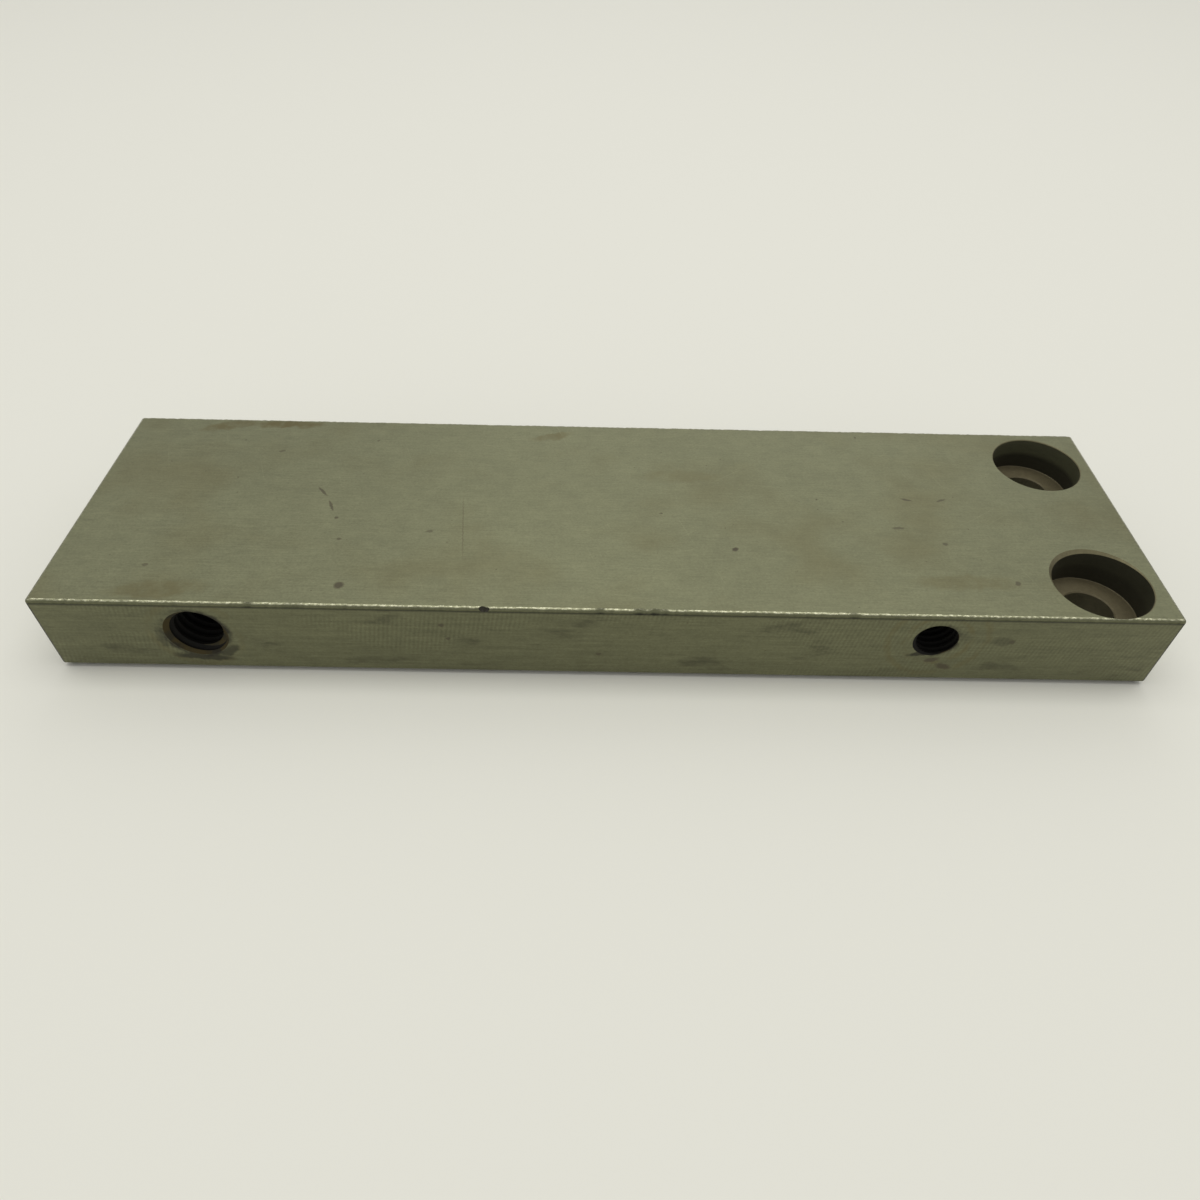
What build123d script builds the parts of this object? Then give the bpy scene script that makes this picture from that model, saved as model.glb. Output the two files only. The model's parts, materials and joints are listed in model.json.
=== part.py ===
from build123d import *
import math
import os

# Machined steel mounting block: one piece of flat bar, milled all over. All sizes in millimetres.
# The origin is the centre of the underside. +X runs along the bar to the counterbored end,
# +Y from the tapped front edge to the back edge, and +Z up, out of the counterbores.

# The bar
block_length = 116.0
block_width = 32.0
block_thickness = 10.0

# Broken edges, each measured along the faces beside it
top_edge_break = 0.35
bottom_edge_chamfer = 0.6
corner_edge_break = 0.3

# Two M5 cap-screw holes at the right-hand end, counterbored from the top.
# They are placed by the walls left round the counterbores. The near wall is a thin sliver,
# so that the near counterbore bites into the broken top edge of the front face.
screw_clearance_diameter = 5.5
counterbore_diameter = 10.0
counterbore_depth = 4.0
end_wall = 1.5
near_wall = 0.25
far_wall = 1.25
screw_exit_deburr = 0.25

# M6 tapped hole near the left-hand end of the front edge, drilled blind and countersunk
m6_tap_drill_diameter = 5.0
m6_drilled_depth = 20.0
m6_countersink_diameter = 6.5
m6_countersink_angle = 90.0
m6_from_left_end = 15.7
m6_below_top = 4.4

# M5 tapped hole towards the right-hand end of the front edge, drilled blind, with a plain mouth
m5_tap_drill_diameter = 4.2
m5_drilled_depth = 16.0
m5_from_right_end = 24.2
m5_below_top = 3.5

# The cone that the drills leave at the bottom of a blind hole
drill_point_angle = 118.0

# Places worked out from the sizes above
left_end = -block_length / 2
right_end = block_length / 2
front = -block_width / 2
back = block_width / 2

counterbore_radius = counterbore_diameter / 2
screw_row_x = right_end - end_wall - counterbore_radius
near_screw_y = front + near_wall + counterbore_radius
far_screw_y = back - far_wall - counterbore_radius

# The front edge face, seen square on: its local x runs along the bar, and its local y
# runs up from the top edge, so that places below the top are negative.
front_face = Plane(origin=(0, front, block_thickness), x_dir=(1, 0, 0), z_dir=(0, -1, 0))
m6_place = (left_end + m6_from_left_end, -m6_below_top)
m5_place = (right_end - m5_from_right_end, -m5_below_top)


def cut_drill_point(place, drill_diameter, drilled_depth):
    """Cut the cone that a drill leaves beyond the full-diameter depth of a front face hole."""
    drill_radius = drill_diameter / 2
    point_length = drill_radius / math.tan(math.radians(drill_point_angle / 2))
    with Locations(front_face):
        with Locations((*place, -drilled_depth)):
            Cone(
                drill_radius,
                0,
                point_length,
                rotation=(180, 0, 0),
                align=(Align.CENTER, Align.CENTER, Align.MIN),
                mode=Mode.SUBTRACT,
            )


with BuildPart() as mounting_block:
    # The bar, with its long and short edges chamfered
    with BuildSketch():
        Rectangle(block_length, block_width)
    extrude(amount=block_thickness)
    chamfer(faces().sort_by(Axis.Z)[-1].edges(), length=top_edge_break)
    chamfer(faces().sort_by(Axis.Z)[0].edges(), length=bottom_edge_chamfer)

    # The four upright corners, broken from top to bottom
    with BuildSketch() as corner_outline:
        Rectangle(block_length, block_width)
        chamfer(corner_outline.vertices(), length=corner_edge_break)
    extrude(amount=block_thickness, mode=Mode.INTERSECT)

    # Screw holes: a flat seat for each screw head, and a deburred exit in the underside
    with Locations(
        (screw_row_x, near_screw_y, block_thickness),
        (screw_row_x, far_screw_y, block_thickness),
    ):
        CounterBoreHole(screw_clearance_diameter / 2, counterbore_radius, counterbore_depth)
    underside = faces().sort_by(Axis.Z)[0]
    chamfer(underside.edges().filter_by(GeomType.CIRCLE), length=screw_exit_deburr)

    # Tapped holes in the front edge, at the diameters of their tap drills
    with Locations(front_face):
        with Locations(m6_place):
            CounterSinkHole(
                m6_tap_drill_diameter / 2,
                m6_countersink_diameter / 2,
                m6_drilled_depth,
                m6_countersink_angle,
            )
        with Locations(m5_place):
            Hole(m5_tap_drill_diameter / 2, m5_drilled_depth)
    cut_drill_point(m6_place, m6_tap_drill_diameter, m6_drilled_depth)
    cut_drill_point(m5_place, m5_tap_drill_diameter, m5_drilled_depth)

mounting_block.part.label = "mounting_block"

os.makedirs("parts", exist_ok=True)
export_step(mounting_block.part, "parts/mounting_block.step")
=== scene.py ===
import json
import math

import bmesh
import bpy
from bpy.props import FloatProperty, FloatVectorProperty, IntProperty, PointerProperty
from mathutils import Matrix, Vector, noise


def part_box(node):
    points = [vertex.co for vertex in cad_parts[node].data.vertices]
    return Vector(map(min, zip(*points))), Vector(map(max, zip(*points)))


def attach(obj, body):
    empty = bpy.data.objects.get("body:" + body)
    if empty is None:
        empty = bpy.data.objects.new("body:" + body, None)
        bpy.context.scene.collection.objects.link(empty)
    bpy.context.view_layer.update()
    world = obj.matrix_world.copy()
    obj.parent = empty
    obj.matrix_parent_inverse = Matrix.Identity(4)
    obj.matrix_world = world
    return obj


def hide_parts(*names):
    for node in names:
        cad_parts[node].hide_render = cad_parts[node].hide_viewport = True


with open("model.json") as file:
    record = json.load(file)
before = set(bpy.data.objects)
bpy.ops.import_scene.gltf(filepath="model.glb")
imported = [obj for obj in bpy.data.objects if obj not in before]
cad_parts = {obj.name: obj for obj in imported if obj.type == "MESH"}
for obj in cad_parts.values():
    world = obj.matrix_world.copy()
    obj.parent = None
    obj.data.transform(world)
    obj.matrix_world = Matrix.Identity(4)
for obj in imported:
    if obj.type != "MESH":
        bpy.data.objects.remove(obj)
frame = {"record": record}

bl_info = {
    "name": "Machined Mounting Block",
    "version": (1, 0, 0),
    "blender": (4, 5, 0),
    "location": "3D Viewport > Sidebar > Mounting Block",
    "description": "Mills, drills, taps and finishes a counterbored steel mounting block",
    "category": "Object",
}

MM = 0.001
PER_MM = 1 / MM

# Points of a turned outline this near each other are one point, and slivers this thin are merged
SAME_POINT = 0.0001 * MM
SLIVER = 0.001 * MM

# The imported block: its box, and the holes that the record states as mounts
BLOCK_NODE = "mounting_block"
LOW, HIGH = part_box(BLOCK_NODE)
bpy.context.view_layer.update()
MOUNTS = {mount["name"]: mount for mount in frame["record"]["mounts"]}

PIECE_NAME = "steel_block"

# The finishes in the order of the block's material slots
FINISH_NAMES = (
    "ground_top",
    "milled_edge",
    "milled_end",
    "ground_underside",
    "bottom_chamfer",
    "broken_edge",
    "hand_deburr",
    "counterbore_wall",
    "screw_seat",
    "screw_hole_wall",
    "countersink",
    "tapped_thread",
    "dent",
)
SLOT = {name: index for index, name in enumerate(FINISH_NAMES)}
FLAT_FINISHES = ("ground_top", "milled_edge", "milled_end", "ground_underside", "screw_seat")


class Hole:
    """A hole as the record states it, in metres: its axis, its wall's radius and its wall's length."""

    def __init__(self, mount_name):
        mount = MOUNTS[mount_name]
        self.place = Vector(mount["pos_m"])
        self.out = Vector(mount["axis"])
        self.radius = mount["dims"]["r_mm"] * MM
        self.length = mount["dims"]["length_mm"] * MM

    def mouth_on(self, point):
        """Where the axis leaves the block, through the plane that holds point and faces along the axis."""
        return self.place + self.out * (point - self.place).dot(self.out)


# ---------------------------------------------------------------------------
# Sizes and colours that a user would change


class BarSettings(bpy.types.PropertyGroup):
    top_break: FloatProperty(
        name="Top Edge Break",
        description="How far the long top edges are rounded over",
        default=0.35 * MM,
        unit="LENGTH",
    )
    bottom_chamfer: FloatProperty(
        name="Bottom Chamfer",
        description="Leg of the chamfer round the underside",
        default=0.6 * MM,
        unit="LENGTH",
    )
    end_break: FloatProperty(
        name="End Edge Break",
        description="How far the edges of the two ends are broken",
        default=0.3 * MM,
        unit="LENGTH",
    )
    edge_step: FloatProperty(
        name="Edge Step",
        description="Length of each piece of a long edge, short enough to carry its wear",
        default=0.16 * MM,
        unit="LENGTH",
    )
    edge_wear: FloatProperty(
        name="Edge Wear",
        description="Deepest unevenness of the broken front and back top edges",
        default=0.05 * MM,
        unit="LENGTH",
    )


class HoleSettings(bpy.types.PropertyGroup):
    rim_break: FloatProperty(
        name="Counterbore Rim Break",
        description="Leg of the small chamfer round the mouth of each counterbore",
        default=0.08 * MM,
        unit="LENGTH",
    )
    hand_deburr: FloatProperty(
        name="Hand Deburr",
        description="Depth of the lopsided deburring cut round the near counterbore",
        default=0.42 * MM,
        unit="LENGTH",
    )
    deburr_slip: FloatProperty(
        name="Deburr Slip",
        description="How far that cut strays from the axis, towards the back left",
        default=0.2 * MM,
        unit="LENGTH",
    )
    exit_deburr: FloatProperty(
        name="Exit Deburr",
        description="Leg of the chamfer where each screw hole leaves the underside",
        default=0.25 * MM,
        unit="LENGTH",
    )
    seat_corner: FloatProperty(
        name="Seat Corner",
        description="Leg of the small chamfers at the corner and inner edge of each screw seat",
        default=0.12 * MM,
        unit="LENGTH",
    )
    steps: IntProperty(
        name="Turning Steps",
        description="Facets round each turned hole",
        default=128,
        min=24,
    )


class ThreadSettings(bpy.types.PropertyGroup):
    m6_pitch: FloatProperty(
        name="M6 Pitch", description="Pitch of the left-hand hole's thread", default=1.0 * MM, unit="LENGTH"
    )
    m6_major: FloatProperty(
        name="M6 Major Diameter",
        description="Root diameter of that thread",
        default=6.0 * MM, unit="LENGTH",
    )
    m6_countersink: FloatProperty(
        name="M6 Countersink",
        description="Diameter of the countersink at the face",
        default=6.5 * MM, unit="LENGTH",
    )
    m5_pitch: FloatProperty(
        name="M5 Pitch",
        description="Pitch of the right-hand hole's thread",
        default=0.8 * MM, unit="LENGTH",
    )
    m5_major: FloatProperty(
        name="M5 Major Diameter",
        description="Root diameter of that thread",
        default=5.0 * MM, unit="LENGTH",
    )
    m5_countersink: FloatProperty(
        name="M5 Deburr",
        description="Diameter of the deburred mouth at the face",
        default=4.3 * MM, unit="LENGTH",
    )
    untapped_pitches: FloatProperty(
        name="Untapped Length", description="Pitches left untapped at the bottom of each hole", default=3.0
    )
    point_angle: FloatProperty(
        name="Drill Point Angle",
        description="Full angle of the drill point",
        default=math.radians(118), subtype="ANGLE",
    )
    steps: IntProperty(name="Thread Steps", description="Facets in one turn of thread", default=72, min=24)


class FinishSettings(bpy.types.PropertyGroup):
    ground_steel: FloatVectorProperty(
        name="Ground Steel",
        description="Top and underside",
        subtype="COLOR", size=3, default=(0.217, 0.220, 0.126),
    )
    # Darker than the ground steel, partly as the milled faces' own tone and partly as painted shade, since
    # the sides take less light than the top
    side_shaded_milled_steel: FloatVectorProperty(
        name="Milled Steel",
        description="Long edges and ends",
        subtype="COLOR", size=3, default=(0.158, 0.160, 0.089),
    )
    # Painted highlight: a bright colour laid along the top of the broken edges, where light glints on them
    painted_highlight_steel: FloatVectorProperty(
        name="Bright Steel",
        description="Top of the broken edges",
        subtype="COLOR", size=3, default=(0.55, 0.54, 0.38),
    )
    # Painted shade: a near-black colour for the foot of the broken edges, a strip under the long top edges,
    # and the chamfer round the underside
    shaded_steel: FloatVectorProperty(
        name="Shaded Steel", description="Foot of the broken edges, and the chamfer round the underside",
        subtype="COLOR", size=3, default=(0.026, 0.026, 0.017),
    )
    brown_deburr: FloatVectorProperty(
        name="Brown Deburr", description="Hand cut round the near counterbore", subtype="COLOR", size=3,
        default=(0.180, 0.160, 0.085),
    )
    # Painted shade: the counterbore walls are coloured near black for the shade inside them
    painted_bore_shade: FloatVectorProperty(
        name="Dull Bore", description="Walls of the counterbores", subtype="COLOR", size=3,
        default=(0.045, 0.043, 0.028),
    )
    screw_hole: FloatVectorProperty(
        name="Screw Hole", description="Walls of the screw holes", subtype="COLOR", size=3,
        default=(0.150, 0.135, 0.080),
    )
    rusty_seat: FloatVectorProperty(
        name="Rusty Seat", description="Screw seats", subtype="COLOR", size=3, default=(0.140, 0.118, 0.062)
    )
    # Painted shade: the threads are coloured near black for the shade deep in the tapped holes
    painted_thread_shade: FloatVectorProperty(
        name="Black Thread",
        description="Oily threads",
        subtype="COLOR", size=3, default=(0.008, 0.0075, 0.006),
    )
    rust: FloatVectorProperty(
        name="Rust", description="Rust spots", subtype="COLOR", size=3, default=(0.056, 0.043, 0.016)
    )
    stain: FloatVectorProperty(
        name="Stain",
        description="Old oil and water stains",
        subtype="COLOR", size=3, default=(0.146, 0.120, 0.047),
    )
    soot: FloatVectorProperty(
        name="Soot", description="Dark grime round the threaded holes", subtype="COLOR", size=3,
        default=(0.032, 0.029, 0.018),
    )


class StageSettings(bpy.types.PropertyGroup):
    camera_place: FloatVectorProperty(
        name="Camera Place", description="Where the lens stands", subtype="TRANSLATION", size=3,
        default=(-0.00185, -0.0762, 0.0731),
    )
    camera_turn: FloatVectorProperty(
        name="Camera Turn", description="How the camera is turned", subtype="EULER", size=3,
        default=(math.radians(44.37), math.radians(-1.14), math.radians(0.34)),
    )
    camera_lens: FloatProperty(
        name="Lens", description="Focal length in millimetres on a 36 mm sensor", default=26.31
    )
    floor_colour: FloatVectorProperty(
        name="Floor",
        description="Colour of the pale floor",
        subtype="COLOR", size=3, default=(0.81, 0.80, 0.71),
    )
    floor_width: FloatProperty(
        name="Floor Width",
        description="Width of the floor",
        default=6.0, unit="LENGTH",
    )
    sky_light: FloatProperty(
        name="Sky Light",
        description="Strength of the even light all round",
        default=0.55,
    )
    overhead_power: FloatProperty(
        name="Overhead Light", description="Power of the soft light overhead, in watts", default=2.0
    )
    back_power: FloatProperty(
        name="Back Light", description="Power of the soft light behind the block, in watts", default=0.5
    )


# ---------------------------------------------------------------------------
# Shop tools: making, cutting and joining meshes


def mesh_object(name, bm):
    """Turn a bmesh into an object at the origin, with a slot for each finish."""
    mesh = bpy.data.meshes.new(name)
    bm.to_mesh(mesh)
    bm.free()
    for finish_name in FINISH_NAMES:
        mesh.materials.append(finish_material(finish_name))
    piece = bpy.data.objects.new(name, mesh)
    bpy.context.scene.collection.objects.link(piece)
    return piece


def block():
    """The steel block, once it has been milled."""
    piece = bpy.data.objects.get(PIECE_NAME)
    if piece is None:
        raise RuntimeError("Mill the bar before working on the block")
    return piece


def cut(piece, cutters):
    """Cut each cutter out of the piece in turn, and throw the cutters away."""
    for cutter in cutters:
        modifier = piece.modifiers.new("Cut", "BOOLEAN")
        modifier.operation = "DIFFERENCE"
        modifier.solver = "EXACT"
        modifier.object = cutter
    bpy.context.view_layer.update()
    evaluated = piece.evaluated_get(bpy.context.evaluated_depsgraph_get())
    result = bpy.data.meshes.new_from_object(evaluated)
    clean_cuts(result)
    piece.modifiers.clear()
    whole = piece.data
    piece.data = result
    bpy.data.meshes.remove(whole)
    for cutter in cutters:
        mesh = cutter.data
        bpy.data.objects.remove(cutter)
        bpy.data.meshes.remove(mesh)


def clean_cuts(mesh):
    """Merge the slivers that cutting leaves, and make sure that the solid is still closed."""
    bm = bmesh.new()
    bm.from_mesh(mesh)
    bmesh.ops.remove_doubles(bm, verts=bm.verts, dist=SLIVER)
    bmesh.ops.dissolve_degenerate(bm, edges=bm.edges, dist=SLIVER)
    open_edges = sum(not edge.is_manifold for edge in bm.edges)
    bm.to_mesh(mesh)
    bm.free()
    if open_edges:
        raise RuntimeError("The cuts left the block open")


def stand_on_axis(bm, mouth, out):
    """Move a mesh made round the Z axis, with its mouth at the origin, onto a hole's axis."""
    turn = Vector((0, 0, 1)).rotation_difference(out).to_matrix().to_4x4()
    bmesh.ops.transform(bm, matrix=Matrix.Translation(mouth) @ turn, verts=bm.verts)


def turned_cutter(name, outline, mouth, out, steps):
    """A solid turned from an outline of (radius, height, finish) points that starts and ends on the axis.

    The finish at each point is that of the wall from there to the next point. Heights are measured
    outwards from the mouth."""
    bm = bmesh.new()
    points = [Vector((radius, 0, height)) for radius, height, finish in outline]
    verts = [bm.verts.new(point) for point in points]
    edges = [bm.edges.new(pair) for pair in zip(verts, verts[1:])]
    bmesh.ops.spin(
        bm, geom=verts + edges, cent=(0, 0, 0), axis=(0, 0, 1), angle=math.tau, steps=steps, use_merge=True
    )
    bmesh.ops.remove_doubles(bm, verts=bm.verts, dist=SAME_POINT)
    bmesh.ops.recalc_face_normals(bm, faces=bm.faces)
    walls = list(zip(points, points[1:], (finish for radius, height, finish in outline)))
    for face in bm.faces:
        centre = face.calc_center_median()
        spot = Vector((math.hypot(centre.x, centre.y), 0, centre.z))
        face.material_index = SLOT[min(walls, key=lambda wall: distance_to_wall(spot, wall))[2]]
    stand_on_axis(bm, mouth, out)
    return mesh_object(name, bm)


def distance_to_wall(spot, wall):
    """How far a point of the outline's plane lies from one straight stretch of it."""
    start, end, finish = wall
    along = end - start
    share = max(0.0, min(1.0, (spot - start).dot(along) / along.length_squared))
    return (spot - start - along * share).length


def thread_cutter(name, mouth, out, bore_radius, major_radius, pitch, depth, steps):
    """A solid screw that leaves an internal thread when it is cut from a bore.

    It is turned by half a step, so that its facets cross those of the bore cleanly."""
    core_radius = bore_radius - 0.12 * pitch
    flank = (major_radius - core_radius) * math.tan(math.radians(30))
    crest = pitch / 8
    rise = (pitch - crest) / 2 - flank
    outline = [
        (core_radius, 0),
        (core_radius, rise),
        (major_radius, rise + flank),
        (major_radius, rise + flank + crest),
        (core_radius, pitch - rise),
        (core_radius, pitch),
    ]
    turns = math.ceil(depth / pitch) + 4
    half_step = Matrix.Rotation(math.pi / steps, 3, "Z")
    bm = bmesh.new()
    verts = [bm.verts.new(half_step @ Vector((radius, 0, height))) for radius, height in outline]
    edges = [bm.edges.new(pair) for pair in zip(verts, verts[1:])]
    bmesh.ops.spin(
        bm,
        geom=verts + edges,
        cent=(0, 0, 0),
        axis=(0, 0, 1),
        dvec=(0, 0, pitch / steps),
        angle=math.tau * turns,
        steps=steps * turns,
    )
    bmesh.ops.translate(bm, verts=bm.verts, vec=(0, 0, -depth - 2 * pitch))
    bmesh.ops.remove_doubles(bm, verts=bm.verts, dist=SLIVER)
    for height, side in ((-depth, -1), (pitch, 1)):
        bmesh.ops.bisect_plane(
            bm,
            geom=bm.verts[:] + bm.edges[:] + bm.faces[:],
            plane_co=(0, 0, height),
            plane_no=(0, 0, side),
            clear_outer=True,
        )
        rim = [edge for edge in bm.edges if edge.is_boundary and on_plane(edge, height)]
        bmesh.ops.edgeloop_fill(bm, edges=rim)
    bmesh.ops.recalc_face_normals(bm, faces=bm.faces)
    for face in bm.faces:
        face.material_index = SLOT["tapped_thread"]
    stand_on_axis(bm, mouth, out)
    return mesh_object(name, bm)


def on_plane(edge, height):
    """Whether an edge lies in the plane at that height."""
    return all(abs(vert.co.z - height) < 0.001 * MM for vert in edge.verts)


# ---------------------------------------------------------------------------
# The bar


def bar_section(bm, settings):
    """The bar's cross-section at its left-hand end: top corners rounded, bottom corners chamfered."""
    corners = [
        (LOW.x, LOW.y, LOW.z),
        (LOW.x, HIGH.y, LOW.z),
        (LOW.x, HIGH.y, HIGH.z),
        (LOW.x, LOW.y, HIGH.z),
    ]
    verts = [bm.verts.new(corner) for corner in corners]
    bm.faces.new(verts)
    top_pair = (verts[2:], settings.top_break, 5)
    bottom_pair = (verts[:2], settings.bottom_chamfer, 1)
    for pair, offset, segments in (top_pair, bottom_pair):
        bmesh.ops.bevel(
            bm, geom=pair, offset=offset, segments=segments, profile=0.5, affect="VERTICES", material=-1
        )


def mill_bar(settings):
    """The whole bar with every edge broken, and the long edges divided finely enough to carry wear."""
    bm = bmesh.new()
    bar_section(bm, settings)
    grown = bmesh.ops.extrude_face_region(bm, geom=bm.faces[:])
    far_verts = [item for item in grown["geom"] if isinstance(item, bmesh.types.BMVert)]
    bmesh.ops.translate(bm, verts=far_verts, vec=(HIGH.x - LOW.x, 0, 0))
    bmesh.ops.recalc_face_normals(bm, faces=bm.faces)
    end_edges = [edge for edge in bm.edges if abs(edge.verts[0].co.x - edge.verts[1].co.x) < 0.01 * MM]
    bmesh.ops.bevel(
        bm, geom=end_edges, offset=settings.end_break, segments=2, profile=0.5, affect="EDGES", material=-1
    )
    chamfer_bottom_of_ends(bm, settings.bottom_chamfer)
    long_edges = [edge for edge in bm.edges if edge.calc_length() > (HIGH.x - LOW.x) / 2]
    bmesh.ops.subdivide_edges(
        bm, edges=long_edges, cuts=round((HIGH.x - LOW.x) / settings.edge_step) - 1, use_grid_fill=True
    )
    wear_long_edges(bm, settings)
    for face in bm.faces:
        face.material_index = bar_finish(face.normal)
    return bm


def chamfer_bottom_of_ends(bm, leg):
    """Plane the 45 degree chamfer along the bottom of both ends."""
    for end_x, side in ((LOW.x, -1), (HIGH.x, 1)):
        cut_plane = bmesh.ops.bisect_plane(
            bm,
            geom=bm.verts[:] + bm.edges[:] + bm.faces[:],
            plane_co=(end_x, 0, LOW.z + leg),
            plane_no=(side, 0, -1),
            clear_outer=True,
        )
        rim = [item for item in cut_plane["geom_cut"] if isinstance(item, bmesh.types.BMEdge)]
        bmesh.ops.edgeloop_fill(bm, edges=rim)
    bmesh.ops.recalc_face_normals(bm, faces=bm.faces)


def wear_long_edges(bm, settings):
    """Roughen the rounded long top edges: small unevenness all along, and a few deeper dents."""
    reach = settings.top_break + 0.01 * MM
    for vert in bm.verts:
        from_top = HIGH.z - vert.co.z
        from_side = min(vert.co.y - LOW.y, HIGH.y - vert.co.y)
        if from_top > reach or from_side > reach:
            continue
        inward = 1 if vert.co.y < 0 else -1
        depth = settings.edge_wear * edge_roughness(vert.co) + dent_depth(vert.co)
        if from_side > 0.01 * MM and abs(vert.co.x) < HIGH.x - settings.end_break:
            vert.co.z -= depth if from_top > 0.01 * MM else 0
            vert.co.y += inward * depth
        elif abs(vert.co.x) < HIGH.x - settings.end_break:
            vert.co.z -= depth


def edge_roughness(place):
    """Unevenness of a filed edge at a place, from 0 to 1."""
    along = place * PER_MM
    coarse = noise.noise((along.x * 0.3, along.y, 0.0))
    fine = noise.noise((along.x * 2.3, along.y, 7.0))
    return max(0.0, min(1.0, 0.3 + 0.5 * coarse + 0.8 * fine))


# Dents in the front top edge: (place along the bar, half width, depth), all in millimetres
FRONT_DENTS = (
    (-1.0, 0.35, 0.08),
    (3.0, 0.50, 0.11),
    (4.5, 0.45, 0.14),
    (5.5, 0.30, 0.08),
    (24.5, 0.40, 0.06),
    (-36.0, 0.40, 0.06),
)

# Dark knocks on the front top edge: (x, y, z, radius), in millimetres from the middle of the underside
KNOCKS = (
    (-58.15, -16.15, 10.2, 0.60),
    (-12.70, -16.05, 10.1, 0.46),
    (-12.25, -16.15, 10.0, 0.40),
)


def dent_depth(place):
    """How deep the dents in the front edge are at a place."""
    if place.y > 0:
        return 0.0
    depths = (
        depth * MM * math.exp(-(((place.x * PER_MM - along) / half_width) ** 2))
        for along, half_width, depth in FRONT_DENTS
    )
    return max(depths)


def bar_finish(normal):
    """Which finish a face of the bare bar has, from the way it points."""
    if normal.z > 0.999:
        return SLOT["ground_top"]
    if normal.z < -0.999:
        return SLOT["ground_underside"]
    if abs(normal.y) > 0.999:
        return SLOT["milled_edge"]
    if abs(normal.x) > 0.999:
        return SLOT["milled_end"]
    if normal.z < -0.1:
        return SLOT["bottom_chamfer"]
    return SLOT["broken_edge"]


# ---------------------------------------------------------------------------
# The holes


def screw_hole_cutter(name, screw_hole, counterbore, settings):
    """One counterbored screw hole, from its rim to its deburred exit in the underside."""
    rim = settings.rim_break
    corner = settings.seat_corner
    over = 1 * MM
    seat = -counterbore.length
    bottom = LOW.z - HIGH.z
    bore = counterbore.radius
    hole = screw_hole.radius
    outline = [
        (0, over, "counterbore_wall"),
        (bore + rim + over, over, "hand_deburr"),
        (bore, -rim, "counterbore_wall"),
        (bore, seat + corner / 2, "screw_seat"),
        (bore - corner / 2, seat, "screw_seat"),
        (hole + corner, seat, "screw_seat"),
        (hole, seat - corner, "screw_hole_wall"),
        (hole, bottom + settings.exit_deburr, "broken_edge"),
        (hole + settings.exit_deburr + over, bottom - over, "screw_hole_wall"),
        (0, bottom - over, "screw_hole_wall"),
    ]
    mouth = counterbore.mouth_on(HIGH)
    return turned_cutter(name, outline, mouth, counterbore.out, settings.steps)


def hand_deburr_cutter(counterbore, settings):
    """The deburring tool held over the near counterbore, off its axis towards the back left."""
    deep = settings.hand_deburr
    over = 1 * MM
    slip = Vector((-1, 1, 0)).normalized() * settings.deburr_slip
    outline = [
        (0, over, "hand_deburr"),
        (counterbore.radius + settings.deburr_slip + over, over, "hand_deburr"),
        (counterbore.radius + settings.deburr_slip - deep, -deep, "hand_deburr"),
        (0, -deep, "hand_deburr"),
    ]
    return turned_cutter(
        "deburring_tool", outline, counterbore.mouth_on(HIGH) + slip, counterbore.out, settings.steps
    )


def tap_drill_cutter(name, hole, countersink_diameter, settings):
    """A blind hole at the tap drill's diameter, with its countersink and its drill point."""
    over = 1 * MM
    sink = countersink_diameter / 2 - hole.radius
    mouth = hole.mouth_on(LOW)
    bottom = -(hole.place - mouth).length - hole.length / 2
    point = hole.radius / math.tan(settings.point_angle / 2)
    outline = [
        (0, over, "countersink"),
        (hole.radius + sink + over, over, "countersink"),
        (hole.radius, -sink, "tapped_thread"),
        (hole.radius, bottom, "tapped_thread"),
        (0, bottom - point, "tapped_thread"),
    ]
    return turned_cutter(name, outline, mouth, hole.out, settings.steps)


def tapped_hole_cutters(name, hole, pitch, major_diameter, countersink_diameter, settings):
    """Everything that is cut away for one tapped hole."""
    drill = tap_drill_cutter(name + "_drill", hole, countersink_diameter, settings)
    mouth = hole.mouth_on(LOW)
    depth = (hole.place - mouth).length + hole.length / 2 - settings.untapped_pitches * pitch
    tap = thread_cutter(
        name + "_tap", mouth, hole.out, hole.radius, major_diameter / 2, pitch, depth, settings.steps
    )
    return [drill, tap]


def knock_cutter(x, y, z, radius):
    """A rough ball that leaves a knock where it bites into an edge."""
    bm = bmesh.new()
    bmesh.ops.create_icosphere(bm, subdivisions=3, radius=radius * MM)
    for vert in bm.verts:
        vert.co *= 1 + 0.35 * noise.noise(vert.co * PER_MM * 2.3 + Vector((x, y, z)))
    bmesh.ops.translate(bm, verts=bm.verts, vec=Vector((x, y, z)) * MM)
    bmesh.ops.recalc_face_normals(bm, faces=bm.faces)
    for face in bm.faces:
        face.material_index = SLOT["dent"]
    return mesh_object("knock", bm)


def smooth_turned_walls(piece):
    """Shade the turned and rounded walls smooth, and leave the planes flat."""
    flat_slots = {SLOT[name] for name in FLAT_FINISHES}
    piece.data.set_sharp_from_angle(angle=math.radians(32))
    for face in piece.data.polygons:
        face.use_smooth = face.material_index not in flat_slots


# ---------------------------------------------------------------------------
# Finishes


def finish_material(name):
    """The material of that name, made blank the first time."""
    return bpy.data.materials.get(name) or bpy.data.materials.new(name)


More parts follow.
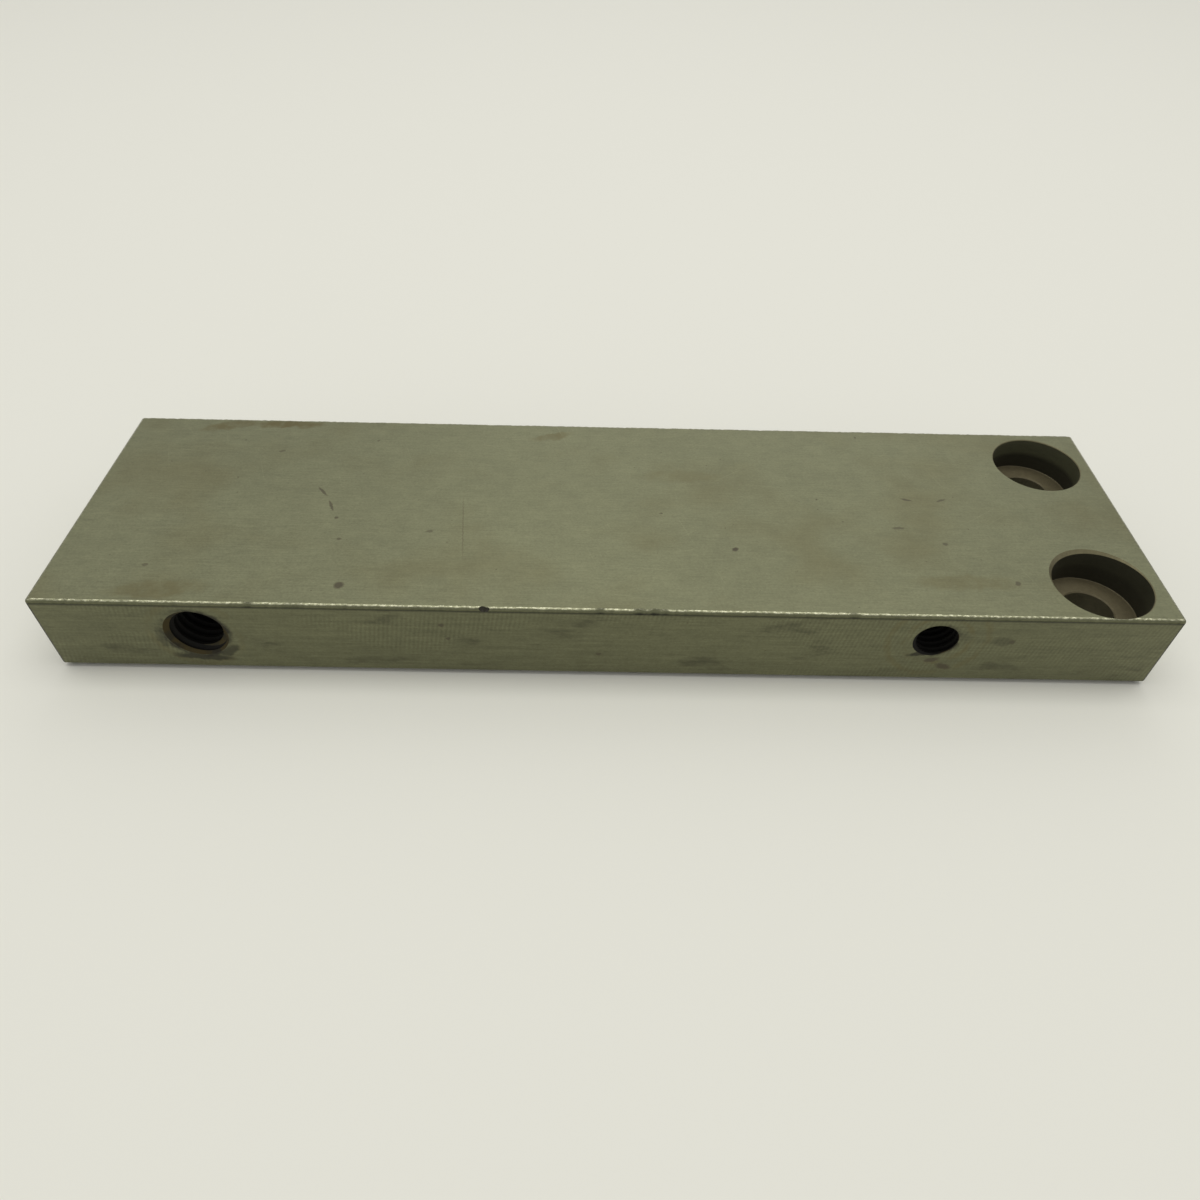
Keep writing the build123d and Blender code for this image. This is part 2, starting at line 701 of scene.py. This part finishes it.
class Finish:
    """The nodes of one finish. Places on the block are in millimetres."""

    def __init__(self, name):
        self.material = finish_material(name)
        self.material.use_nodes = True
        self.tree = self.material.node_tree
        self.tree.nodes.clear()
        spot = self.add("ShaderNodeTexCoord").outputs["Object"]
        self.place = self.vector("MULTIPLY", spot, (PER_MM, PER_MM, PER_MM))

    def add(self, kind, **settings):
        """A new node with these settings."""
        node = self.tree.nodes.new(kind)
        for name, value in settings.items():
            setattr(node, name, value)
        return node

    def feed(self, socket, value):
        """Link a socket to another node's output, or set it to a plain value."""
        if isinstance(value, bpy.types.NodeSocket):
            self.tree.links.new(value, socket)
        else:
            socket.default_value = value

    def math(self, operation, first, second=0.0):
        node = self.add("ShaderNodeMath", operation=operation)
        self.feed(node.inputs[0], first)
        self.feed(node.inputs[1], second)
        return node.outputs[0]

    def vector(self, operation, first, second):
        node = self.add("ShaderNodeVectorMath", operation=operation)
        self.feed(node.inputs[0], first)
        self.feed(node.inputs[1], second)
        return node.outputs["Vector"]

    def noise(self, per_mm, detail=2.0, roughness=0.5, seed=0.0, place=None):
        """Noise from 0 to 1, with this many features to a millimetre along x, y and z."""
        scaled = self.add("ShaderNodeVectorMath", operation="MULTIPLY_ADD")
        self.feed(scaled.inputs[0], self.place if place is None else place)
        self.feed(scaled.inputs[1], per_mm)
        self.feed(scaled.inputs[2], (seed, seed * 1.7, seed * 0.6))
        node = self.add("ShaderNodeTexNoise")
        self.feed(node.inputs["Vector"], scaled.outputs["Vector"])
        self.feed(node.inputs["Scale"], 1.0)
        self.feed(node.inputs["Detail"], detail)
        self.feed(node.inputs["Roughness"], roughness)
        return node.outputs["Fac"]

    def ramp(self, value, low, high, start=0.0, end=1.0):
        """Start below low, end above high, and a smooth change between."""
        node = self.add("ShaderNodeMapRange", interpolation_type="SMOOTHSTEP")
        for name, setting in (
            ("Value", value), ("From Min", low), ("From Max", high), ("To Min", start), ("To Max", end)
        ):
            self.feed(node.inputs[name], setting)
        return node.outputs["Result"]

    def mix(self, share, first, second):
        """A colour that goes from first to second as share goes from 0 to 1."""
        node = self.add("ShaderNodeMix", data_type="RGBA")
        self.feed(node.inputs[0], share)
        self.feed(node.inputs[6], rgba(first))
        self.feed(node.inputs[7], rgba(second))
        return node.outputs[2]

    def shade(self, colour, factor):
        """A colour made lighter or darker by a factor."""
        node = self.add("ShaderNodeMix", data_type="RGBA", blend_type="MULTIPLY")
        grey = self.add("ShaderNodeCombineColor")
        for channel in grey.inputs:
            self.feed(channel, factor)
        self.feed(node.inputs[0], 1.0)
        self.feed(node.inputs[6], rgba(colour))
        self.feed(node.inputs[7], grey.outputs[0])
        return node.outputs[2]

    def swing(self, value, amount):
        """A factor round 1 that follows a noise value and strays by about the amount each way."""
        return self.multiply_add(value, 2 * amount, 1 - amount)

    def multiply_add(self, value, factor, offset):
        node = self.add("ShaderNodeMath", operation="MULTIPLY_ADD")
        self.feed(node.inputs[0], value)
        self.feed(node.inputs[1], factor)
        self.feed(node.inputs[2], offset)
        return node.outputs[0]

    def across(self, first_axis, second_axis):
        """The place on a plane, as a vector of two of its coordinates."""
        apart = self.add("ShaderNodeSeparateXYZ")
        self.feed(apart.inputs[0], self.place)
        together = self.add("ShaderNodeCombineXYZ")
        self.feed(together.inputs[0], apart.outputs[first_axis])
        self.feed(together.inputs[1], apart.outputs[second_axis])
        return together.outputs[0]

    def wander(self, place, size, amount):
        """The same place moved about by noise, so that what is drawn there has a ragged outline."""
        node = self.add("ShaderNodeTexNoise")
        self.feed(node.inputs["Vector"], place)
        self.feed(node.inputs["Scale"], 1 / size)
        self.feed(node.inputs["Detail"], 3.0)
        shift = self.vector("SUBTRACT", node.outputs["Color"], (0.5, 0.5, 0.5))
        return self.vector("ADD", place, self.vector("MULTIPLY", shift, (2 * amount, 2 * amount, 0.0)))

    def marks(self, place, table):
        """How strongly marks cover a place.

        Each is an oval: x, y, half length, half width, turn in degrees, strength."""
        total = None
        for x, y, half_length, half_width, turn, strength in table:
            oval = self.add("ShaderNodeMapping", vector_type="TEXTURE")
            self.feed(oval.inputs["Vector"], place)
            self.feed(oval.inputs["Location"], (x, y, 0.0))
            self.feed(oval.inputs["Rotation"], (0.0, 0.0, math.radians(turn)))
            self.feed(oval.inputs["Scale"], (half_length, half_width, 1.0))
            reach = self.add("ShaderNodeVectorMath", operation="LENGTH")
            self.feed(reach.inputs[0], oval.outputs[0])
            mark = self.ramp(reach.outputs["Value"], 0.6, 1.25, strength, 0.0)
            total = mark if total is None else self.math("MAXIMUM", total, mark)
        return total

    def surface(self, colour, roughness, metallic, height=None, depth=0.01, strength=0.3, gloss=0.5):
        """End the nodes with a steel surface. Depth is the bump's, in millimetres."""
        shader = self.add("ShaderNodeBsdfPrincipled")
        self.feed(shader.inputs["Base Color"], rgba(colour))
        self.feed(shader.inputs["Roughness"], roughness)
        self.feed(shader.inputs["Metallic"], metallic)
        self.feed(shader.inputs["Specular IOR Level"], gloss)
        if height is not None:
            bump = self.add("ShaderNodeBump")
            self.feed(bump.inputs["Strength"], strength)
            self.feed(bump.inputs["Distance"], depth * MM)
            self.feed(bump.inputs["Height"], height)
            self.feed(shader.inputs["Normal"], bump.outputs[0])
        output = self.add("ShaderNodeOutputMaterial")
        self.feed(output.inputs["Surface"], shader.outputs[0])


def rgba(colour):
    """A colour with the fourth number that a colour socket wants. A socket is passed on."""
    if isinstance(colour, bpy.types.NodeSocket):
        return colour
    return (colour[0], colour[1], colour[2], 1.0)


# The plainest marks, to half a millimetre.
# On the top: (x, y, half length, half width, turn in degrees, strength)
TOP_RUST = (
    (-27.5, -13.0, 0.55, 0.50, 0, 0.9),
    (-32.5, 2.0, 1.0, 0.16, 130, 0.8),
    (-31.0, -0.5, 1.0, 0.16, 115, 0.8),
    (-30.0, -2.5, 0.25, 0.20, 0, 0.8),
    (-29.0, -6.0, 0.30, 0.20, 0, 0.7),
    (-39.0, 9.5, 0.40, 0.20, 20, 0.6),
    (-19.5, -4.5, 0.45, 0.20, 10, 0.6),
    (13.5, -6.5, 0.40, 0.30, 30, 0.95),
    (34.0, 2.5, 0.70, 0.16, -15, 0.8),
    (38.0, 2.5, 0.60, 0.16, 25, 0.7),
    (32.0, -2.5, 0.70, 0.20, 0, 0.6),
    (36.5, -5.0, 0.30, 0.25, 0, 0.7),
    (42.5, -11.0, 0.35, 0.30, 60, 0.7),
    (-48.0, -10.5, 0.35, 0.25, 0, 0.6),
    (-16.0, -3.5, 5.0, 0.07, 96, 0.35),
)
TOP_STAINS = (
    (-46.5, 14.5, 3.5, 0.9, 12, 0.75),
    (-39.5, 15.0, 4.0, 0.8, 0, 0.85),
    (-7.0, 13.5, 2.5, 0.7, 18, 0.6),
    (8.0, 6.0, 5.0, 1.2, 0, 0.25),
    (-45.5, -14.0, 5.0, 1.2, 6, 0.45),
    (37.0, -11.0, 5.5, 1.2, 0, 0.35),
)
# On the front face: (x, z, half length, half width, turn in degrees, strength)
FRONT_RUST = (
    (-17.0, 7.5, 0.30, 0.25, 0, 0.8),
    (-16.5, 5.5, 0.25, 0.20, 0, 0.8),
    (-1.0, 3.5, 0.30, 0.20, 0, 0.8),
    (41.5, 6.5, 0.30, 0.30, 0, 0.8),
    (34.0, 3.5, 0.80, 0.35, 10, 0.9),
    (35.5, 2.5, 0.90, 0.40, -20, 0.9),
)
# Grime on the front face, most of it round the tapped holes
FRONT_SOOT = (
    (-42.5, 2.0, 3.2, 0.5, -4, 0.8),
    (-39.5, 3.0, 1.3, 0.6, 38, 0.7),
    (-46.0, 5.0, 0.5, 1.6, 0, 0.45),
    (33.0, 4.5, 1.9, 0.35, 8, 0.9),
    (40.5, 6.5, 1.2, 0.7, 0, 0.35),
)


def steel(finish, colour, grain, grain_amount, speckle_amount, seed):
    """Bare steel: an uneven tone, mottling, grain along the cut, and fine speckle.

    Gives its colour and its grain, which also serves as its height."""
    tone = finish.noise((0.03, 0.05, 0.05), detail=2.0, seed=seed)
    mottle = finish.noise((0.5, 0.6, 0.6), detail=5.0, roughness=0.65, seed=seed + 3)
    lines = finish.noise(grain, detail=5.0, roughness=0.7, seed=seed + 7)
    speckle = finish.noise((3.6, 4.5, 4.5), detail=3.0, roughness=0.75, seed=seed + 11)
    for pattern, amount in ((tone, 0.12), (mottle, 0.16), (lines, grain_amount), (speckle, speckle_amount)):
        colour = finish.shade(colour, finish.swing(pattern, amount))
    height = finish.math("ADD", lines, finish.math("MULTIPLY", speckle, 0.5))
    return colour, height


def corrode(finish, colour, settings, place, rust_table, stain_table, scatter):
    """Lay stains, rust spots and scattered rust specks over a steel colour.

    Gives the new colour and how much rust covers each place."""
    if stain_table:
        stains = finish.marks(finish.wander(place, 1.6, 0.8), stain_table)
        patchy = finish.ramp(finish.noise((0.9, 0.9, 0.9), detail=4.0, seed=21), 0.3, 0.6, 0.5, 1.0)
        colour = finish.mix(finish.math("MULTIPLY", stains, patchy), colour, settings.stain)
    specks = finish.noise((1.3, 1.3, 1.3), detail=2.0, roughness=0.5, seed=31)
    rust = finish.ramp(specks, scatter, scatter + 0.06, 0.0, 0.8)
    if rust_table:
        spots = finish.marks(finish.wander(place, 0.35, 0.16), rust_table)
        rust = finish.math("MAXIMUM", rust, spots)
    return finish.mix(rust, colour, settings.rust), rust


def finish_top(settings):
    """Ground along its length, with the marks of storage: oil stains, rust spots and fine scratches."""
    finish = Finish("ground_top")
    plane = finish.across(0, 1)
    colour, height = steel(finish, settings.ground_steel, (0.30, 5.0, 5.0), 0.26, 0.30, seed=1)
    for turn, seed, level in ((8, 41, 0.72), (-35, 47, 0.74), (70, 53, 0.74)):
        turned = finish.add("ShaderNodeMapping")
        finish.feed(turned.inputs["Vector"], plane)
        finish.feed(turned.inputs["Rotation"], (0.0, 0.0, math.radians(turn)))
        hairs = finish.noise((0.10, 7.0, 1.0), detail=1.0, seed=seed, place=turned.outputs[0])
        colour = finish.shade(colour, finish.ramp(hairs, level, level + 0.06, 1.0, 1.15))
    yellowed = finish.ramp(finish.noise((0.08, 0.10, 0.1), detail=3.0, seed=59), 0.45, 0.75, 0.0, 0.30)
    colour = finish.mix(yellowed, colour, settings.stain)
    colour, rust = corrode(finish, colour, settings, plane, TOP_RUST, TOP_STAINS, 0.755)
    roughness = finish.ramp(height, 0.4, 1.1, 0.38, 0.52)
    finish.surface(colour, roughness, finish.ramp(rust, 0.0, 1.0, 0.75, 0.1), height, depth=0.012)


def ring_stain(finish, plane, hole, radius, width, strength):
    """How strongly a washer has stained its rim round a hole in the front face."""
    middle = (hole.place.x * PER_MM, hole.place.z * PER_MM, 0.0)
    reach = finish.add("ShaderNodeVectorMath", operation="DISTANCE")
    finish.feed(reach.inputs[0], plane)
    finish.feed(reach.inputs[1], middle)
    off = finish.math("ABSOLUTE", finish.math("SUBTRACT", reach.outputs["Value"], radius))
    patchy = finish.ramp(finish.noise((0.5, 0.5, 0.5), detail=3.0, seed=201), 0.35, 0.6)
    return finish.math("MULTIPLY", finish.ramp(off, 0.0, width, strength, 0.0), patchy)


def finish_long_edge(settings):
    """Milled along its length, with slanting feed marks in places, grime round the tapped holes, and a
    painted shade strip under the top edge.
    """
    finish = Finish("milled_edge")
    apart = finish.add("ShaderNodeSeparateXYZ")
    finish.feed(apart.inputs[0], finish.place)
    # The marks belong to the front face, so on the back face the pattern is moved a metre away from them
    moved = finish.add("ShaderNodeCombineXYZ")
    finish.feed(moved.inputs[0], finish.ramp(apart.outputs["Y"], -1.0, 1.0, 0.0, 1000.0))
    plane = finish.vector("ADD", finish.across(0, 2), moved.outputs[0])
    # The long faces' colour carries painted shade as well as their milled tone
    colour, height = steel(finish, settings.side_shaded_milled_steel, (0.16, 3.5, 3.5), 0.40, 0.34, seed=61)
    feed = finish.add("ShaderNodeTexWave", wave_type="BANDS", bands_direction="X")
    slanted = finish.add("ShaderNodeMapping")
    finish.feed(slanted.inputs["Vector"], plane)
    finish.feed(slanted.inputs["Rotation"], (0.0, 0.0, math.radians(10)))
    finish.feed(feed.inputs["Vector"], slanted.outputs[0])
    finish.feed(feed.inputs["Scale"], 0.7)
    finish.feed(feed.inputs["Distortion"], 2.0)
    finish.feed(feed.inputs["Detail"], 3.0)
    finish.feed(feed.inputs["Detail Scale"], 2.0)
    where = finish.ramp(finish.noise((0.07, 0.16, 0.16), detail=3.0, seed=67), 0.46, 0.62, 0.0, 0.09)
    feed_shade = finish.math("MULTIPLY", finish.multiply_add(feed.outputs["Fac"], 2.0, -1.0), where)
    colour = finish.shade(colour, finish.math("ADD", feed_shade, 1.0))

    smudges = finish.noise((0.12, 0.35, 0.35), detail=5.0, roughness=0.6, seed=71)
    colour = finish.mix(finish.ramp(smudges, 0.54, 0.72, 0.0, 0.5), colour, settings.soot)
    ragged = finish.wander(plane, 0.8, 0.35)
    m5_hole = Hole("m5_tapped_hole")
    m6_hole = Hole("m6_tapped_hole")
    for hole, radius, width, strength in (
        (m5_hole, 3.4, 0.5, 0.45),
        (m5_hole, 5.1, 0.6, 0.35),
        (m6_hole, 4.6, 0.7, 0.25),
    ):
        ring = ring_stain(finish, ragged, hole, radius, width, strength)
        colour = finish.mix(ring, colour, settings.stain)
    colour = finish.mix(ring_stain(finish, ragged, m6_hole, 3.3, 0.55, 1.0), colour, settings.soot)
    colour = finish.mix(ring_stain(finish, ragged, m5_hole, 2.1, 0.50, 0.9), colour, settings.soot)
    colour = finish.mix(finish.marks(ragged, FRONT_SOOT), colour, settings.soot)
    colour, rust = corrode(finish, colour, settings, plane, FRONT_RUST, None, 0.74)

    # Painted shade: a dark strip just below the long top edges, on the front and the back face
    painted_edge_shade = finish.ramp(apart.outputs["Z"], 9.30, 9.62, 0.0, 0.75)
    colour = finish.mix(painted_edge_shade, colour, settings.shaded_steel)
    finish.surface(colour, 0.5, finish.ramp(rust, 0.0, 1.0, 0.7, 0.1), height, depth=0.015)


def finish_ends(settings):
    """Milled across, like the long edges."""
    finish = Finish("milled_end")
    # The ends' colour carries painted shade as well as their milled tone
    colour, height = steel(finish, settings.side_shaded_milled_steel, (3.5, 0.16, 3.5), 0.36, 0.30, seed=81)
    colour, rust = corrode(finish, colour, settings, finish.across(1, 2), None, None, 0.73)
    finish.surface(colour, 0.5, finish.ramp(rust, 0.0, 1.0, 0.7, 0.1), height, depth=0.015)


def finish_underside(settings):
    """Ground like the top, with scattered rust, inside a chamfer darkened as painted shade."""
    finish = Finish("ground_underside")
    colour, height = steel(finish, settings.ground_steel, (0.30, 5.0, 5.0), 0.26, 0.30, seed=101)
    colour, rust = corrode(finish, colour, settings, finish.across(0, 1), None, None, 0.73)
    finish.surface(colour, 0.45, finish.ramp(rust, 0.0, 1.0, 0.75, 0.1), height, depth=0.012)

    # Painted shade: the chamfer round the underside is coloured near black for the shade in the gap under the
    # block
    finish = Finish("bottom_chamfer")
    colour, height = steel(finish, settings.shaded_steel, (0.6, 3.0, 3.0), 0.25, 0.20, seed=111)
    finish.surface(colour, 0.8, 0.0, height, depth=0.02, gloss=0.15)


def finish_broken_edges(settings):
    """Filed by hand: painted highlight along the top of each edge, and painted shade at its foot."""
    finish = Finish("broken_edge")
    apart = finish.add("ShaderNodeSeparateXYZ")
    finish.feed(apart.inputs[0], finish.place)
    height_up = apart.outputs["Z"]
    # Painted shade: below 9.80 mm each broken edge fades to the shaded colour, and the upright corners of the
    # ends, lying mostly below it, take it too
    body = finish.ramp(height_up, 9.55, 9.80)
    # Painted highlight: glints scattered by noise along the top of each edge
    highlight_crown = finish.ramp(height_up, 9.86, 9.97)
    glint_noise = finish.noise((2.2, 4.0, 4.0), detail=4.0, roughness=0.7, seed=127)
    painted_glints = finish.ramp(glint_noise, 0.44, 0.64, 0.15, 0.85)
    colour = finish.mix(body, settings.shaded_steel, settings.side_shaded_milled_steel)
    colour = finish.mix(finish.math("MULTIPLY", highlight_crown, painted_glints), colour, settings.painted_highlight_steel)
    colour, height = steel(finish, colour, (1.2, 3.0, 3.0), 0.30, 0.30, seed=121)
    finish.surface(colour, 0.34, 0.85, height, depth=0.03, strength=0.5)

    finish = Finish("dent")
    colour, height = steel(finish, settings.soot, (2.0, 2.0, 2.0), 0.40, 0.30, seed=131)
    finish.surface(colour, 0.6, 0.4, height, depth=0.04, strength=0.6)

    finish = Finish("hand_deburr")
    colour, height = steel(finish, settings.brown_deburr, (1.5, 1.5, 1.5), 0.30, 0.25, seed=135)
    finish.surface(colour, 0.45, 0.6, height, depth=0.02)


def finish_bores(settings):
    """Counterbore walls in painted shade with a painted lit band, their browned seats, and threads painted
    near black as shade.
    """
    finish = Finish("counterbore_wall")
    apart = finish.add("ShaderNodeSeparateXYZ")
    finish.feed(apart.inputs[0], finish.place)
    # Painted light: a lighter band towards the mouth of each counterbore, stronger in the far one, where
    # light falls on its wall
    band = finish.ramp(apart.outputs["Z"], 7.6, 8.4)
    far_hole_light = finish.ramp(apart.outputs["Y"], -1.0, 1.0, 0.15, 0.6)
    colour = finish.mix(finish.math("MULTIPLY", band, far_hole_light), settings.painted_bore_shade, settings.side_shaded_milled_steel)
    colour, height = steel(finish, colour, (0.6, 0.6, 4.0), 0.25, 0.15, seed=141)
    finish.surface(colour, 0.5, 0.5, height, depth=0.02)

    for name, base, roughness, metallic, gloss, seed in (
        ("screw_seat", settings.rusty_seat, 0.55, 0.4, 0.5, 151),
        ("screw_hole_wall", settings.screw_hole, 0.5, 0.4, 0.5, 161),
        ("countersink", settings.soot, 0.7, 0.0, 0.15, 171),
        ("tapped_thread", settings.painted_thread_shade, 0.65, 0.0, 0.12, 181),
    ):
        finish = Finish(name)
        colour, height = steel(finish, base, (1.5, 1.5, 1.5), 0.25, 0.20, seed=seed)
        if name == "countersink":
            browned = finish.ramp(finish.noise((0.5, 0.5, 0.5), detail=3.0, seed=173), 0.42, 0.58)
            colour = finish.mix(browned, colour, settings.rust)
        finish.surface(colour, roughness, metallic, height, depth=0.02, gloss=gloss)


# ---------------------------------------------------------------------------
# The stage


def lay_floor(settings):
    """A plain pale floor for the block to lie on."""
    bm = bmesh.new()
    bmesh.ops.create_grid(bm, x_segments=1, y_segments=1, size=settings.floor_width / 2)
    bmesh.ops.translate(bm, verts=bm.verts, vec=(0, 0, LOW.z))
    mesh = bpy.data.meshes.new("floor")
    bm.to_mesh(mesh)
    bm.free()
    floor = bpy.data.objects.new("floor", mesh)
    bpy.context.scene.collection.objects.link(floor)
    finish = Finish("pale_floor")
    finish.surface(settings.floor_colour, 0.75, 0.0)
    mesh.materials.append(finish.material)


def hang_lamp(name, place, aim, size, power):
    """A soft lamp, so wide and so deep, that points at a place."""
    lamp = bpy.data.lights.new(name, "AREA")
    lamp.shape = "RECTANGLE"
    lamp.size, lamp.size_y = size
    lamp.energy = power
    holder = bpy.data.objects.new(name, lamp)
    holder.location = place
    holder.rotation_euler = (Vector(aim) - Vector(place)).to_track_quat("-Z", "Y").to_euler()
    bpy.context.scene.collection.objects.link(holder)


def light_sky(strength):
    """Even pale light from all round."""
    world = bpy.data.worlds.new("studio")
    world.use_nodes = True
    background = world.node_tree.nodes["Background"]
    background.inputs["Color"].default_value = (1.0, 1.0, 1.0, 1.0)
    background.inputs["Strength"].default_value = strength
    bpy.context.scene.world = world


def stand_camera(settings):
    """The camera, above the front of the block and looking down at it."""
    camera = bpy.data.cameras.new("camera")
    camera.sensor_width = 36
    camera.lens = settings.camera_lens
    camera.clip_start = 0.001
    stand = bpy.data.objects.new("camera", camera)
    stand.location = settings.camera_place
    stand.rotation_euler = settings.camera_turn
    bpy.context.scene.collection.objects.link(stand)
    bpy.context.scene.camera = stand


# ---------------------------------------------------------------------------
# Operators, in the order of the work


class MillBar(bpy.types.Operator):
    """Mill the bar to size and break its edges"""

    bl_idname = "mounting_block.mill_bar"
    bl_label = "Mill Bar"

    def execute(self, context):
        piece = mesh_object(PIECE_NAME, mill_bar(context.scene.bar_settings))
        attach(piece, "root")
        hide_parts(BLOCK_NODE)
        return {"FINISHED"}


class BoreScrewHoles(bpy.types.Operator):
    """Bore the two counterbored screw holes near the right-hand end"""

    bl_idname = "mounting_block.bore_screw_holes"
    bl_label = "Bore Screw Holes"

    def execute(self, context):
        settings = context.scene.hole_settings
        near_counterbore = Hole("near_counterbore")
        cutters = [
            screw_hole_cutter("near_bore", Hole("near_screw_hole"), near_counterbore, settings),
            screw_hole_cutter("far_bore", Hole("far_screw_hole"), Hole("far_counterbore"), settings),
            hand_deburr_cutter(near_counterbore, settings),
        ]
        cut(block(), cutters)
        return {"FINISHED"}


class TapFrontHoles(bpy.types.Operator):
    """Drill, countersink and tap the two blind holes in the front face"""

    bl_idname = "mounting_block.tap_front_holes"
    bl_label = "Tap Front Holes"

    def execute(self, context):
        settings = context.scene.thread_settings
        m6 = (settings.m6_pitch, settings.m6_major, settings.m6_countersink)
        m5 = (settings.m5_pitch, settings.m5_major, settings.m5_countersink)
        cutters = tapped_hole_cutters("m6", Hole("m6_tapped_hole"), *m6, settings)
        cutters += tapped_hole_cutters("m5", Hole("m5_tapped_hole"), *m5, settings)
        cut(block(), cutters)
        return {"FINISHED"}


class KnockEdges(bpy.types.Operator):
    """Knock the front top edge and its left corner, and shade the finished block"""

    bl_idname = "mounting_block.knock_edges"
    bl_label = "Knock Edges"

    def execute(self, context):
        cut(block(), [knock_cutter(*knock) for knock in KNOCKS])
        smooth_turned_walls(block())
        return {"FINISHED"}


class FinishSteel(bpy.types.Operator):
    """Give each face of the block its finish"""

    bl_idname = "mounting_block.finish_steel"
    bl_label = "Finish Steel"

    def execute(self, context):
        settings = context.scene.finish_settings
        finish_top(settings)
        finish_long_edge(settings)
        finish_ends(settings)
        finish_underside(settings)
        finish_broken_edges(settings)
        finish_bores(settings)
        return {"FINISHED"}


class SetStage(bpy.types.Operator):
    """Lay the floor, light it, and stand the camera"""

    bl_idname = "mounting_block.set_stage"
    bl_label = "Set Stage"

    def execute(self, context):
        settings = context.scene.stage_settings
        lay_floor(settings)
        light_sky(settings.sky_light)
        hang_lamp("overhead_lamp", (0.0, 0.05, 0.65), (0.0, 0.0, 0.0), (0.9, 0.3), settings.overhead_power)
        hang_lamp("back_lamp", (0.1, 0.7, 0.5), (0.0, 0.0, 0.0), (0.6, 0.6), settings.back_power)
        stand_camera(settings)
        context.scene.view_settings.view_transform = "Standard"
        return {"FINISHED"}


OPERATORS = (MillBar, BoreScrewHoles, TapFrontHoles, KnockEdges, FinishSteel, SetStage)


class MountingBlockPanel(bpy.types.Panel):
    """Lists the steps that make the block"""

    bl_idname = "VIEW3D_PT_mounting_block"
    bl_label = "Mounting Block"
    bl_space_type = "VIEW_3D"
    bl_region_type = "UI"
    bl_category = "Mounting Block"

    def draw(self, context):
        for operator in OPERATORS:
            self.layout.operator(operator.bl_idname)


SETTINGS = {
    "bar_settings": BarSettings,
    "hole_settings": HoleSettings,
    "thread_settings": ThreadSettings,
    "finish_settings": FinishSettings,
    "stage_settings": StageSettings,
}


def register():
    for name, settings in SETTINGS.items():
        bpy.utils.register_class(settings)
        setattr(bpy.types.Scene, name, PointerProperty(type=settings))
    for operator in OPERATORS:
        bpy.utils.register_class(operator)
    bpy.utils.register_class(MountingBlockPanel)


def unregister():
    bpy.utils.unregister_class(MountingBlockPanel)
    for operator in reversed(OPERATORS):
        bpy.utils.unregister_class(operator)
    for name, settings in reversed(SETTINGS.items()):
        delattr(bpy.types.Scene, name)
        bpy.utils.unregister_class(settings)


def main():
    register()
    bpy.ops.mounting_block.mill_bar()
    bpy.ops.mounting_block.bore_screw_holes()
    bpy.ops.mounting_block.tap_front_holes()
    bpy.ops.mounting_block.knock_edges()
    bpy.ops.mounting_block.finish_steel()
    bpy.ops.mounting_block.set_stage()


if __name__ == "__main__":
    main()
